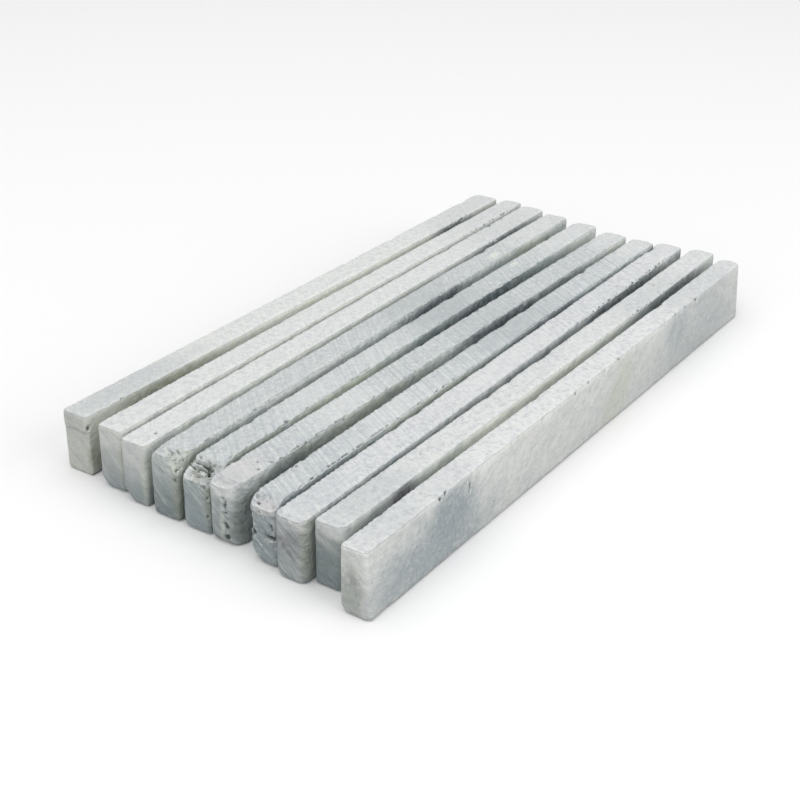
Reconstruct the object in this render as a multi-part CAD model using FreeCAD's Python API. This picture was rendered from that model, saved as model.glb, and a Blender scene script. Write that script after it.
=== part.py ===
import FreeCAD, Part
import math
import os

# Ten loose sticks of sawn soapstone chalk, stood on their narrow edges side by side.
# +X runs along the sticks, +Y across the row towards stick_01, +Z up. The near ends
# are at -X. The origin is under the middle of the row, at the height it stands on.
# All lengths are in millimetres and all angles in degrees.

# Driving dimensions
LENGTH = 130.0             # a full stick
HEIGHT = 11.2              # the wide way of the section, which stands upright
THICKNESS = 5.4            # the narrow way of the section
EDGE_WEAR = 0.35           # rounding of the long edges
CORNER = 0.8               # rounding of an upright corner that has kept its shape
WORN = 2.0                 # rounding of an upright corner that is worn down
FOOT = 1.2                 # rounding under the two ends, seen from the side
ROW_CENTRE = (-0.03, 0.51)    # shift that puts the middle of the row over the origin
CLEAR = 5.0                # how far a cutting body stands outside the stone

# Names for the two ends, the two sides and the two levels of a stick
NEAR, FAR = -1, 1
LEFT, RIGHT = 1, -1
TOP, BOTTOM = 1, -1

# One entry for each stick:
#   at        middle of the stick in the row (x, y)
#   cut_to    its length, measured from the nominal LENGTH
#   turn      how far it is turned in the row, seen from above
#   bow       how far its middle stands to the left of a straight stick
#   thick     thickness at the near end and at the far end, from THICKNESS
#   tall      height from the nominal HEIGHT
#   corners   rounding of the upright corners: near left, near right, far right, far left
#   feet      rounding under the near end and under the far end
#   flare     how much further out the right side stands at the foot than at the top
#   bevel     worn slope at the top of the near end (length, drop), if there is one
#   chips     broken corners (end, side, level, length, width, depth)
STICKS = {
    "stick_01": dict(
        at=(3.15, 30.2), cut_to=-0.5, turn=-0.3, bow=-0.1, thick=(0.1, 0.5), tall=0.0,
        corners=(CORNER, CORNER, CORNER, WORN), feet=(0.5, FOOT), flare=0.0, bevel=None,
        chips=[(NEAR, LEFT, BOTTOM, 0.8, 1.2, 1.4)],
    ),
    "stick_02": dict(
        at=(3.1, 22.7), cut_to=0.4, turn=0.4, bow=0.2, thick=(0.0, -0.6), tall=0.1,
        corners=(CORNER, CORNER, CORNER, WORN), feet=(0.6, FOOT), flare=0.0, bevel=None,
        chips=[(NEAR, LEFT, BOTTOM, 1.4, 2.2, 2.4)],
    ),
    "stick_03": dict(
        at=(2.1, 16.8), cut_to=0.8, turn=0.55, bow=0.2, thick=(-0.1, 0.3), tall=0.0,
        corners=(CORNER, CORNER, 1.2, WORN), feet=(0.6, 1.6), flare=0.0, bevel=None,
        chips=[(NEAR, LEFT, BOTTOM, 1.8, 2.8, 2.8)],
    ),
    "stick_04": dict(
        at=(1.0, 9.9), cut_to=-0.4, turn=0.55, bow=0.6, thick=(0.2, 0.0), tall=0.1,
        corners=(CORNER, CORNER, CORNER, 1.6), feet=(0.5, FOOT), flare=0.0, bevel=None,
        chips=[(NEAR, RIGHT, TOP, 4.0, 3.4, 3.0), (NEAR, LEFT, BOTTOM, 0.8, 1.0, 1.0)],
    ),
    "stick_05": dict(
        at=(0.6, 2.9), cut_to=-0.8, turn=0.05, bow=0.6, thick=(0.0, 0.0), tall=0.0,
        corners=(CORNER, CORNER, CORNER, WORN), feet=(0.8, FOOT), flare=0.0, bevel=(4.0, 2.4),
        chips=[(NEAR, RIGHT, TOP, 7.0, 4.6, 3.2), (NEAR, LEFT, BOTTOM, 1.2, 1.5, 1.5)],
    ),
    "stick_06": dict(
        at=(-0.4, -4.0), cut_to=-1.9, turn=-0.75, bow=0.3, thick=(0.3, 0.2), tall=-0.1,
        corners=(CORNER, 2.8, CORNER, WORN), feet=(1.4, FOOT), flare=0.0, bevel=(1.6, 1.4),
        chips=[(NEAR, LEFT, BOTTOM, 1.3, 1.8, 1.8)],
    ),
    "stick_07": dict(
        at=(-1.2, -11.5), cut_to=-1.8, turn=-0.1, bow=0.35, thick=(-0.2, 0.0), tall=0.1,
        corners=(CORNER, 1.0, CORNER, WORN), feet=(0.8, 1.5), flare=0.0, bevel=(2.2, 1.8),
        chips=[(NEAR, LEFT, BOTTOM, 1.8, 2.8, 2.8)],
    ),
    "stick_08": dict(
        at=(-1.1, -17.3), cut_to=0.7, turn=0.0, bow=0.0, thick=(0.1, 0.0), tall=0.0,
        corners=(CORNER, 1.4, CORNER, 1.8), feet=(0.5, FOOT), flare=0.0, bevel=(0.9, 0.9),
        chips=[(NEAR, LEFT, BOTTOM, 1.0, 1.5, 1.8)],
    ),
    "stick_09": dict(
        at=(0.2, -23.7), cut_to=0.2, turn=-0.55, bow=-0.15, thick=(-0.1, -0.1), tall=-0.1,
        corners=(CORNER, 1.6, 1.2, WORN), feet=(0.5, FOOT), flare=0.0, bevel=None, chips=[],
    ),
    "stick_10": dict(
        at=(-2.8, -30.55), cut_to=1.1, turn=-0.6, bow=0.0, thick=(-0.6, -0.6), tall=0.1,
        corners=(CORNER, CORNER, WORN, 2.3), feet=(0.5, 2.0), flare=0.75, bevel=None,
        chips=[(NEAR, LEFT, BOTTOM, 1.2, 1.6, 1.8)],
    ),
}

# The ledge that the saw left across the near end of stick_01
LEDGE_STICK = "stick_01"
LEDGE_DROP = 3.0           # below the top
LEDGE_DEPTH = 0.5          # how far the stone below it is set back


def vector(x, y, z=0.0):
    return FreeCAD.Vector(x, y, z)


def bowed_outline(length, near_thick, far_thick, bow, flare):
    """The foot of the stick from above: two cut ends and two long sides with one bow."""
    half = length / 2
    middle = (near_thick + far_thick) / 4
    left = [(-half, near_thick / 2), (0, middle + bow), (half, far_thick / 2)]
    right = [
        (half, -far_thick / 2 - flare), (0, -middle + bow - flare),
        (-half, -near_thick / 2 - flare),
    ]
    edges = []
    for side in (left, right):
        start, mid, end = [vector(*point) for point in side]
        if abs(bow) > 0:
            edges.append(Part.Arc(start, mid, end).toShape())
        else:
            edges.append(Part.makeLine(start, end))
    edges.append(Part.makeLine(vector(*left[2]), vector(*right[0])))
    edges.append(Part.makeLine(vector(*right[2]), vector(*left[0])))
    return Part.Wire(Part.__sortEdges__(edges))


def flare_wedge(length, height, thick, flare):
    """What is missing from the right side above the foot of a stick that flares."""
    foot = vector(-length, -thick / 2 - flare)
    head = vector(-length, -thick / 2, height)
    above = head + (head - foot) * 0.5
    outside = vector(-length, foot.y - CLEAR, above.z)
    below = vector(-length, foot.y - CLEAR)
    face = Part.Face(Part.makePolygon([foot, above, outside, below, foot]))
    return face.extrude(vector(2 * length, 0, 0))


def round_upright(solid, place, height, radius):
    """Round the upright edge that stands nearest to a place seen from above."""
    uprights = [edge for edge in solid.Edges if edge.BoundBox.ZLength > 0.9 * height]
    nearest = min(uprights, key=lambda edge: (edge.CenterOfMass - vector(*place)).Length)
    return solid.makeFillet(radius, [nearest])


def plan_body(length, height, near_thick, far_thick, spec):
    """The outline from above, carried up to the height, with its corners and rims worn."""
    half = length / 2
    outline = bowed_outline(length, near_thick, far_thick, spec["bow"], spec["flare"])
    solid = Part.Face(outline).extrude(vector(0, 0, height))
    if spec["flare"]:
        solid = solid.cut(flare_wedge(length, height, near_thick, spec["flare"]))
    places = [
        (-half, near_thick / 2), (-half, -near_thick / 2),
        (half, -far_thick / 2), (half, far_thick / 2),
    ]
    for place, radius in zip(places, spec["corners"]):
        solid = round_upright(solid, (*place, height / 2), height, radius)
    rims = []
    for face in solid.Faces:
        if face.BoundBox.ZLength < EDGE_WEAR:
            rims.extend(face.OuterWire.Edges)
    return solid.makeFillet(EDGE_WEAR, rims)


def side_body(length, height, feet, bevel, width):
    """The outline from the side, carried across the stick: worn feet and a sloping top."""
    half = length / 2
    near_foot, far_foot = feet
    run, drop = bevel if bevel else (0.0, 0.0)
    corner_45 = 1 - math.sqrt(0.5)
    near_mid = vector(-half + near_foot * corner_45, 0, near_foot * corner_45)
    far_mid = vector(half - far_foot * corner_45, 0, far_foot * corner_45)
    near_low, near_high = vector(-half + near_foot, 0), vector(-half, 0, near_foot)
    far_low, far_high = vector(half - far_foot, 0), vector(half, 0, far_foot)
    top = [vector(half, 0, height), vector(-half + run, 0, height)]
    if bevel:
        top.append(vector(-half, 0, height - drop))
    edges = [
        Part.Arc(near_high, near_mid, near_low).toShape(),
        Part.makeLine(near_low, far_low),
        Part.Arc(far_low, far_mid, far_high).toShape(),
    ]
    points = [far_high] + top + [near_high]
    for start, end in zip(points, points[1:]):
        edges.append(Part.makeLine(start, end))
    face = Part.Face(Part.Wire(edges))
    face.translate(vector(0, -width / 2))
    return face.extrude(vector(0, width, 0))


def corner_chip(corner, inward, legs):
    """A three-sided wedge that breaks off a corner: legs are its reach along X, Y and Z."""
    outside = 1 + sum(CLEAR / leg for leg in legs)
    apex = vector(*[at - way * CLEAR for at, way in zip(corner, inward)])
    reach = [leg * outside for leg in legs]
    tips = [
        apex + vector(inward[0] * reach[0], 0, 0),
        apex + vector(0, inward[1] * reach[1], 0),
        apex + vector(0, 0, inward[2] * reach[2]),
    ]
    sides = [(tips[0], tips[1], tips[2])]
    for first, second in ((0, 1), (1, 2), (2, 0)):
        sides.append((apex, tips[first], tips[second]))
    faces = []
    for a, b, c in sides:
        faces.append(Part.Face(Part.makePolygon([a, b, c, a])))
    return Part.makeSolid(Part.makeShell(faces))


def make_stick(name, spec):
    """One stick, in its place in the row."""
    length = LENGTH + spec["cut_to"]
    height = HEIGHT + spec["tall"]
    near_thick = THICKNESS + spec["thick"][0]
    far_thick = THICKNESS + spec["thick"][1]
    half = length / 2
    width = 2 * (max(near_thick, far_thick) + abs(spec["bow"]) + spec["flare"])

    solid = plan_body(length, height, near_thick, far_thick, spec)
    solid = solid.common(side_body(length, height, spec["feet"], spec["bevel"], width))

    for end, side, level, *legs in spec["chips"]:
        thick = near_thick if end == NEAR else far_thick
        corner = (end * half, side * thick / 2, height if level == TOP else 0.0)
        solid = solid.cut(corner_chip(corner, (-end, -side, -level), legs))

    if name == LEDGE_STICK:
        below = height - LEDGE_DROP
        block = Part.makeBox(
            CLEAR + LEDGE_DEPTH, width, below + CLEAR, vector(-half - CLEAR, -width / 2, -CLEAR)
        )
        solid = solid.cut(block)

    solid.rotate(vector(0, 0), vector(0, 0, 1), spec["turn"])
    solid.translate(vector(spec["at"][0] + ROW_CENTRE[0], spec["at"][1] + ROW_CENTRE[1]))
    return solid.Solids[0]


def main():
    os.makedirs("parts", exist_ok=True)
    for name, spec in STICKS.items():
        make_stick(name, spec).exportStep("parts/" + name + ".step")


main()
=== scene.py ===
import math

import bpy
import numpy as np
from mathutils import Matrix, Vector


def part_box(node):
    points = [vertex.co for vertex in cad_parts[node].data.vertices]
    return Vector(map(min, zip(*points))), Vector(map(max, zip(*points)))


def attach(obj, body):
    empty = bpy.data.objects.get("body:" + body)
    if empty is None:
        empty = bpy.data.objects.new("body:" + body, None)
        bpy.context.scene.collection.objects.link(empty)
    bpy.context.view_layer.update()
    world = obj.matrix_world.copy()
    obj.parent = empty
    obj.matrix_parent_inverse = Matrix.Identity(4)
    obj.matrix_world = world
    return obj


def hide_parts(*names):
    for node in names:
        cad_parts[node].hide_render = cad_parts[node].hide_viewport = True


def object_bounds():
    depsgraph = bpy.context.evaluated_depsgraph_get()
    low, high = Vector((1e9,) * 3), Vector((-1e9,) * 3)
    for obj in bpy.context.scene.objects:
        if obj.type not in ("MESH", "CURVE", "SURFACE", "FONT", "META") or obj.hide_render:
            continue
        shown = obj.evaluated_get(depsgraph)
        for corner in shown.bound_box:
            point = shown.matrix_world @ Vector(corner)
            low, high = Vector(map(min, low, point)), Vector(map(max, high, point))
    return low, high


# A row of ten loose soapstone chalk sticks, each cut from its CAD blank, then sawn,
# chipped, pitted and worn. Sizes in the tables below are in millimetres, seen from each
# stick's own near end: `along` runs from the near end, `side` from +1 on the left face to
# -1 on the right one, and `up` is the height over the table.

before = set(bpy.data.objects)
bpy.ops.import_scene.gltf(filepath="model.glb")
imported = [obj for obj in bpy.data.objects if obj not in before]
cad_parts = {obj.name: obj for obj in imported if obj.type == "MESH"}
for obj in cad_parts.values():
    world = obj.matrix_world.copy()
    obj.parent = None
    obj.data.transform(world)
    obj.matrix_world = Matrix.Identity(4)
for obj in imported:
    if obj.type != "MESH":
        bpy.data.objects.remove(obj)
cad_low, cad_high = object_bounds()

MM = 0.001
GRIT = 0.25      # how finely the stone is cut
LEFT, RIGHT = 1, -1
STIR_X, STIR_Y, STIR_Z = 374761393, 668265263, 1440662683      # odd numbers that mix well
STIR_SEED, STIR_AGAIN = 974634777, 1274126177
CLEAR_OF_ENDS = (8, 5)                  # the long faces are fitted this far in from the ends
CLEAR_OF_RIMS = (4, 8)                  # and between these heights
GRAIN_DEPTH = 0.22 * MM                 # height of the finest grain
DUST_AND_EDGE_HIGHLIGHT = 0.8                         # how white the worn edges are: partly dust, partly painted edge highlight
DARK_SPECKS = 0.45                      # how dark the mineral specks are
GLOW_DEPTH = 0.8 * MM                   # how far light goes into the stone


# ---------------------------------------------------------------- noise for the mesh

def lattice(ix, iy, iz, seed):
    """A steady random number from 0 to 1 for each whole-number place."""
    mixed = ix * STIR_X + iy * STIR_Y + iz * STIR_Z + seed * STIR_SEED
    mixed = mixed & 0xFFFFFFFF
    mixed = ((mixed ^ (mixed >> 13)) * STIR_AGAIN) & 0xFFFFFFFF
    return ((mixed ^ (mixed >> 16)) & 0xFFFFFF) / float(0xFFFFFF)


def lumps(places, size, seed):
    """Smooth noise from -1 to 1, with lumps about `size` apart."""
    scaled = places / size
    whole = np.floor(scaled).astype(np.int64)
    part = scaled - whole
    part = part * part * (3 - 2 * part)
    total = np.zeros(len(places))
    for corner in range(8):
        step = np.array([corner & 1, corner >> 1 & 1, corner >> 2 & 1])
        share = np.prod(np.where(step == 1, part, 1 - part), axis=1)
        ix, iy, iz = (whole + step).T
        total += share * lattice(ix, iy, iz, seed)
    return total * 2 - 1


def rough_lumps(places, size, seed, layers=3):
    """Several sizes of lumps together, each turned so that they don't line up."""
    turned = np.array(Matrix.Rotation(0.7, 3, Vector((1, 2, 3)).normalized()))
    total, weight = np.zeros(len(places)), 0.0
    for layer in range(layers):
        strength = 0.55 ** layer
        total += strength * lumps(places, size * 0.5 ** layer, seed + layer * 17)
        weight += strength
        places = places @ turned
    return total / weight


def fade(value, low, high):
    """0 below low and 1 above high, with a smooth change between them."""
    share = np.clip((value - low) / (high - low), 0, 1)
    return share * share * (3 - 2 * share)


# ---------------------------------------------------------------- the stone blanks

class Blank:
    """A stick's CAD shape as a dense mesh, with each point's place on the stick."""

    def __init__(self, node_name):
        self.node_name = node_name
        self.mesh = dense_copy(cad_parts[node_name])
        count = len(self.mesh.vertices)
        flat = np.zeros(count * 3)
        self.mesh.vertices.foreach_get("co", flat)
        self.places = flat.reshape(-1, 3)
        self.worn = np.zeros(count)
        self.hollow = np.zeros(count)
        self.read_normals()
        self.find_sides()

    def read_normals(self):
        """Outward directions of the present shape."""
        self.mesh.vertices.foreach_set("co", self.places.ravel())
        self.mesh.update()
        flat = np.zeros(len(self.places) * 3)
        self.mesh.vertices.foreach_get("normal", flat)
        self.normals = flat.reshape(-1, 3)

    def find_sides(self):
        """Fit the two long faces, then place every point between them."""
        x, y, z = self.places.T
        low, high = self.places.min(0), self.places.max(0)
        inner = (x > low[0] + CLEAR_OF_ENDS[0]) & (x < high[0] - CLEAR_OF_ENDS[1])
        inner = inner & (z > CLEAR_OF_RIMS[0]) & (z < CLEAR_OF_RIMS[1])
        faces = []
        for side in (LEFT, RIGHT):
            on_face = inner & (self.normals[:, 1] * side > 0.9)
            faces.append(np.polyfit(x[on_face], y[on_face], 2))
        left, right = [np.polyval(face, x) for face in faces]
        self.along = x - low[0]
        self.length = high[0] - low[0]
        self.height = high[2]
        self.up = z.copy()
        self.half = (left - right) / 2
        self.across = y - (left + right) / 2
        self.spot = np.stack([self.along, self.across, self.up], axis=1)
        self.below_top = self.surface_over(self.along, self.across, self.up) - self.up
        self.behind_end = self.along + self.surface_over(self.up, self.across, -self.along)
        self.behind_right = self.across + self.surface_over(self.along, self.up, -self.across)

    def surface_over(self, first, second, level):
        """For each point, the highest level found in its small square of the other two."""
        square = 3 * GRIT
        row = np.floor(first / square).astype(np.int64)
        column = np.floor(second / square).astype(np.int64)
        row -= row.min()
        column -= column.min()
        cell = row * (column.max() + 1) + column
        highest = np.full(cell.max() + 1, -np.inf)
        np.maximum.at(highest, cell, level)
        return highest[cell]

    def sink(self, depth):
        """Take stone away to a depth, straight in from the surface."""
        self.places = self.places - self.normals * depth[:, None]

    def half_at(self, along):
        """Half the stick's thickness at one place."""
        return self.half[np.argmin(np.abs(self.along - along))]

    def in_row(self, along, side, up):
        """Where a spot on the stick lies in the row, in millimetres."""
        close = np.argsort(np.abs(self.along - along))[:200]
        middle = (self.places[close, 1] - self.across[close]).mean()
        low = (self.places[:, 0] - self.along).mean()
        return (low + along, middle + side * self.half[close].mean(), up)

    def near(self, spot, reach):
        """1 at a place (along, side, up), falling to 0 at about `reach` from it."""
        along, side, up = spot
        gap = np.stack([self.along - along, self.across - side * self.half, self.up - up])
        return np.exp(-(gap ** 2).sum(0) / (0.5 * reach) ** 2)


def dense_copy(node):
    """The node's closed shape again in millimetres, cut into small even squares."""
    coarse = node.data.copy()
    coarse.transform(Matrix.Scale(1 / MM, 4))
    holder = bpy.data.objects.new("dense", coarse)
    bpy.context.scene.collection.objects.link(holder)
    cutter = holder.modifiers.new("squares", "REMESH")
    cutter.mode = "VOXEL"
    cutter.voxel_size = GRIT
    cutter.use_smooth_shade = True
    shape = holder.evaluated_get(bpy.context.evaluated_depsgraph_get())
    dense = bpy.data.meshes.new_from_object(shape)
    bpy.data.objects.remove(holder)
    bpy.data.meshes.remove(coarse)
    return dense


# ---------------------------------------------------------------- work on the stone

SKIN, SLOW_WAVE, QUICK_WAVE, DUST_CRUMBS = 0.05, 0.03, 0.025, 0.03


def wave_faces(blank, seed):
    """Sawn faces are never quite flat."""
    slow = lumps(blank.spot * [0.35, 1, 1], 6.0, seed)
    quick = rough_lumps(blank.spot, 1.4, seed + 3)
    dusty = fade(np.abs(blank.normals[:, 2]), 0.5, 0.9)
    crumbs = rough_lumps(blank.spot, 0.8, seed + 5, layers=2)
    blank.sink(SKIN + SLOW_WAVE * slow + QUICK_WAVE * quick + DUST_CRUMBS * dusty * crumbs)


SAW_WANDER = 0.12


def cut_saw_marks(blank, pitch, slant, depth, seed):
    """Fine ridges across the two narrow faces, left by the teeth of the saw."""
    narrow = fade(np.abs(blank.normals[:, 2]), 0.6, 0.95)
    wander = lumps(blank.spot * [0.25, 0.8, 1], 3.0, seed) * SAW_WANDER
    beat = (blank.along + slant * blank.across) / pitch + wander
    tooth = 0.5 - 0.5 * np.cos(2 * math.pi * beat)
    strength = 0.35 + 0.65 * lattice(
        np.floor(beat).astype(np.int64), 0, (blank.up > blank.height / 2).astype(np.int64), seed
    )
    blank.sink(narrow * depth * tooth * strength)


EDGE_LOSS, SMALL_CHIP, LARGE_CHIP, SAW_STEP = 0.03, 0.36, 0.45, 0.26


def wear_long_edges(blank, ragged, pitch, slant, seed):
    """Small chips and saw steps along the four long edges, worst at the top."""
    for side in (LEFT, RIGHT):
        from_side = np.clip(blank.half - side * blank.across, 0, None)
        for level, top in (("foot", False), ("top", True)):
            from_level = np.clip(blank.height - blank.up if top else blank.up, 0, None)
            reach = np.hypot(from_side, from_level)
            edge_seed = seed + 31 * side + (7 if top else 0)
            line = np.stack([blank.along, 0 * reach + 9 * side, from_level * 0.3], axis=1)
            small = np.clip(rough_lumps(line, 1.1, edge_seed) + 0.05, 0, 1)
            large = fade(lumps(line * [1, 1, 0.5], 3.4, edge_seed + 5), 0.35, 0.8)
            step = ((blank.along + slant * blank.across) / pitch) % 1.0
            strength = ragged * (1.0 if top else 0.5)
            bite = SMALL_CHIP * small + LARGE_CHIP * large + SAW_STEP * step
            close = np.exp(-(reach / (0.42 + 0.35 * large)) ** 2)
            blank.sink(close * (EDGE_LOSS + strength * bite))
            blank.worn += close * (0.25 + 1.3 * small + 0.8 * large) * (1.0 if top else 0.6)


RIM_REACH, RIM_LOSS, RIM_CRUMBS = 0.45, 0.02, 0.3


def wear_end_edges(blank, ragged, seed):
    """The rims of the two snapped ends crumble a little."""
    rough = np.clip(rough_lumps(blank.spot, 0.9, seed) + 0.1, 0, 1)
    for from_end in (blank.along, blank.length - blank.along):
        from_long = np.minimum(
            np.minimum(blank.half - np.abs(blank.across), blank.height - blank.up), blank.up
        )
        reach = np.hypot(np.clip(from_end, 0, None), np.clip(from_long, 0, None))
        close = np.exp(-(reach / RIM_REACH) ** 2)
        blank.sink(close * (RIM_LOSS + RIM_CRUMBS * ragged * rough))
        blank.worn += 0.7 * close * (0.3 + rough)


FACET_TILT = 0.45


def break_stone(blank, spot, reach, depth, flake, seed):
    """A broken place: small flat facets, each tilted its own way, with cracks between them."""
    uneven = 0.5 + 0.5 * lumps(blank.spot, 1.6, seed + 11)
    share = fade(blank.near(spot, reach) * (0.6 + 0.8 * uneven), 0.22, 0.5)
    inside = np.flatnonzero(share > 0)
    points = blank.spot[inside] + 0.25 * np.stack(
        [lumps(blank.spot[inside], 0.8, seed + axis) for axis in range(3)], axis=1
    )
    dice = np.random.default_rng(seed)
    count = int((reach / flake) ** 2 * 2)
    low, high = points.min(0), points.max(0)
    middles = dice.uniform(low, high, (count, 3))
    tilts = dice.normal(0, FACET_TILT, (count, 3))
    levels = dice.uniform(0, 1, count)
    gaps = np.linalg.norm((points[:, None] - middles[None]) * [0.8, 1.1, 1.4], axis=2)
    order = np.argsort(gaps, axis=1)[:, :2]
    rows = np.arange(len(points))
    first, second = order.T
    rise = ((points - middles[first]) * tilts[first]).sum(1)
    bite = np.clip(0.6 * levels[first] + 0.5 * rise / flake + 0.2, 0, 1)
    bite = bite + 0.15 * rough_lumps(points, 0.7, seed + 21)
    crack = fade(gaps[rows, second] - gaps[rows, first], 0.3, 0.0)
    crack = crack * np.clip(levels[first] - levels[second], 0, 1)
    taken = np.zeros(len(share))
    taken[inside] = share[inside] * (bite + 0.3 * crack)
    blank.sink(depth * taken)
    # Painted shade: cracks and deeper bites go into the hollow mask, which the finish darkens.
    blank.hollow[inside] += share[inside] * np.clip(crack + 0.25 * (bite - 0.6), 0, 1) * 0.8
    # Raised facets count as worn, so the finish gives them white flecks: partly fresh pale stone,
    # partly painted highlight.
    blank.worn[inside] += share[inside] * (1 - crack) * np.clip(0.8 - bite, 0, 0.7)


def groove(start, end, width, depth):
    """A scored or broken line between two spots. A spot's None means wherever the surface is."""
    return start, end, width, depth


def pit(spot, width, depth):
    """A small hole."""
    return spot, spot, width, depth


def dig(blank, marks, seed):
    """Cut the listed grooves and pits, with uneven edges."""
    uneven = rough_lumps(blank.spot, 0.7, seed)
    dice = np.random.default_rng(seed)
    for start, end, width, depth in marks:
        along, across, up = blank.along, blank.across, blank.up
        first, last = [np.array([p or 0.0 for p in spot]) for spot in (start, end)]
        half = blank.half_at(first[0])
        first[1] *= half
        last[1] *= half
        if start[1] == RIGHT and start[0] and start[2]:
            across = np.where(blank.across < 0, blank.behind_right, 9.0)
            first[1] = last[1] = 0.0
        if start[2] is None:
            up = blank.below_top
        if start[0] is None:
            along = np.where(blank.along < 5, blank.behind_end, 9.0)
        if start == end:
            last = first + dice.normal(0, 0.35 * width, 3)
        points = np.stack([along, across, up], axis=1)
        run = last - first
        share = np.clip((points - first) @ run / max(run @ run, 1e-6), 0, 1)
        away = np.linalg.norm(points - first - share[:, None] * run, axis=1)
        close = fade(1 - away / (0.5 * width * (1.1 + 1.1 * uneven)), 0.0, 0.7)
        blank.sink(close * depth)
        # Painted shade: deeper grooves and pits go darker into the hollow mask.
        blank.hollow += close * min(1.0, depth / 0.36)


def pitted_seam(side, low, high, count, seed):
    """Small holes of all sizes, strung down the near end."""
    dice = np.random.default_rng(seed)
    pits = []
    for up in np.linspace(low, high, count):
        spot = (None, side + dice.normal(0, 0.09), up + dice.uniform(-0.4, 0.4))
        pits.append(pit(spot, dice.uniform(0.3, 0.85), dice.uniform(0.1, 0.5)))
    return pits


def stray_pits(blank, count, seed):
    """Pinholes and crumbs lost from the top, most of them beside the edges."""
    dice = np.random.default_rng(seed)
    pits = []
    for _ in range(count):
        side = dice.choice([-1.0, 1.0]) * dice.uniform(0.1, 1.0) ** 0.5
        spot = (dice.uniform(3, 125), side, None)
        pits.append(pit(spot, dice.uniform(0.3, 0.7), dice.uniform(0.04, 0.16)))
    return pits


def crumbled_edge(side, start, stop, count, seed):
    """Crumbs missing from one stretch of a top edge."""
    dice = np.random.default_rng(seed)
    pits = []
    for place in np.linspace(start, stop, count):
        spot = (place + dice.uniform(-0.6, 0.6), side * dice.uniform(0.85, 1.0), None)
        pits.append(pit(spot, dice.uniform(0.5, 1.1), dice.uniform(0.12, 0.4)))
    return pits


def keep_inside(blank):
    """Hold every point within the blank that the stick was cut from."""
    low, high = [np.array(corner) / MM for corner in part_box(blank.node_name)]
    blank.places = np.clip(blank.places, low, high)


def finish_mesh(blank, name):
    """Write the points back in metres, with the wear and the hollows that the finish reads: wear
    for white flecks that are partly painted highlight, hollows for painted shade.
    """
    mesh = blank.mesh
    mesh.name = name
    mesh.vertices.foreach_set("co", (blank.places * MM).ravel())
    for label, values in (("worn", blank.worn), ("hollow", blank.hollow)):
        layer = mesh.attributes.new(label, "FLOAT", "POINT")
        layer.data.foreach_set("value", np.clip(values, 0, 1).astype(np.float32))
    mesh.update()
    stone = bpy.data.objects.new(name, mesh)
    bpy.context.scene.collection.objects.link(stone)
    return stone


# ---------------------------------------------------------------- shader helpers

def plug(tree, value, socket):
    """Link a socket, or set a plain value."""
    if isinstance(value, bpy.types.NodeSocket):
        tree.links.new(value, socket)
    else:
        socket.default_value = value


def sum_of(tree, operation, *terms, clamp=False):
    """One arithmetic step on numbers."""
    made = tree.nodes.new("ShaderNodeMath")
    made.operation = operation
    made.use_clamp = clamp
    for term, socket in zip(terms, made.inputs):
        plug(tree, term, socket)
    return made.outputs[0]


def vector_of(tree, operation, first, second):
    """One arithmetic step on vectors."""
    made = tree.nodes.new("ShaderNodeVectorMath")
    made.operation = operation
    plug(tree, first, made.inputs[0])
    plug(tree, second, made.inputs[3] if operation == "SCALE" else made.inputs[1])
    return made.outputs["Value"] if operation in ("DOT_PRODUCT", "LENGTH") else made.outputs[0]


def spread(tree, value, low, high, to_low=0.0, to_high=1.0):
    """A smooth change from one value to another between two limits."""
    made = tree.nodes.new("ShaderNodeMapRange")
    made.interpolation_type = "SMOOTHSTEP"
    for socket, number in zip(made.inputs, (value, low, high, to_low, to_high)):
        plug(tree, number, socket)
    return made.outputs[0]


def speckle(tree, where, size, detail=3.0, roughness=0.5):
    """Noise from 0 to 1 with lumps `size` millimetres apart."""
    made = tree.nodes.new("ShaderNodeTexNoise")
    made.noise_dimensions = "3D"
    plug(tree, where, made.inputs["Vector"])
    plug(tree, sum_of(tree, "DIVIDE", 1.0, size), made.inputs["Scale"])
    made.inputs["Detail"].default_value = detail
    made.inputs["Roughness"].default_value = roughness
    return made.outputs[0]


def tint(tree, share, under, over):
    """One colour laid over another."""
    made = tree.nodes.new("ShaderNodeMix")
    made.data_type = "RGBA"
    plug(tree, share, made.inputs[0])
    for value, socket in ((under, made.inputs[6]), (over, made.inputs[7])):
        plug(tree, value if isinstance(value, bpy.types.NodeSocket) else (*value, 1.0), socket)
    return made.outputs[2]


def new_group(name, inputs, outputs):
    """An empty node group with named sockets. Returns the tree, its inputs and its outputs."""
    tree = bpy.data.node_groups.new(name, "ShaderNodeTree")
    kinds = {"vector": "NodeSocketVector", "number": "NodeSocketFloat"}
    for label, kind, value in inputs:
        socket = tree.interface.new_socket(label, in_out="INPUT", socket_type=kinds[kind])
        socket.default_value = value
    for label, kind in outputs:
        tree.interface.new_socket(label, in_out="OUTPUT", socket_type=kinds[kind])
    entry = tree.nodes.new("NodeGroupInput").outputs
    leave = tree.nodes.new("NodeGroupOutput").inputs
    return tree, entry, leave


def use(tree, group, **values):
    """Place a node group in a material and set its inputs. Returns its outputs."""
    made = tree.nodes.new("ShaderNodeGroup")
    made.node_tree = group
    for label, value in values.items():
        plug(tree, value, made.inputs[label.replace("_", " ").capitalize()])
    return made.outputs


# ---------------------------------------------------------------- node groups of the finish

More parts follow.
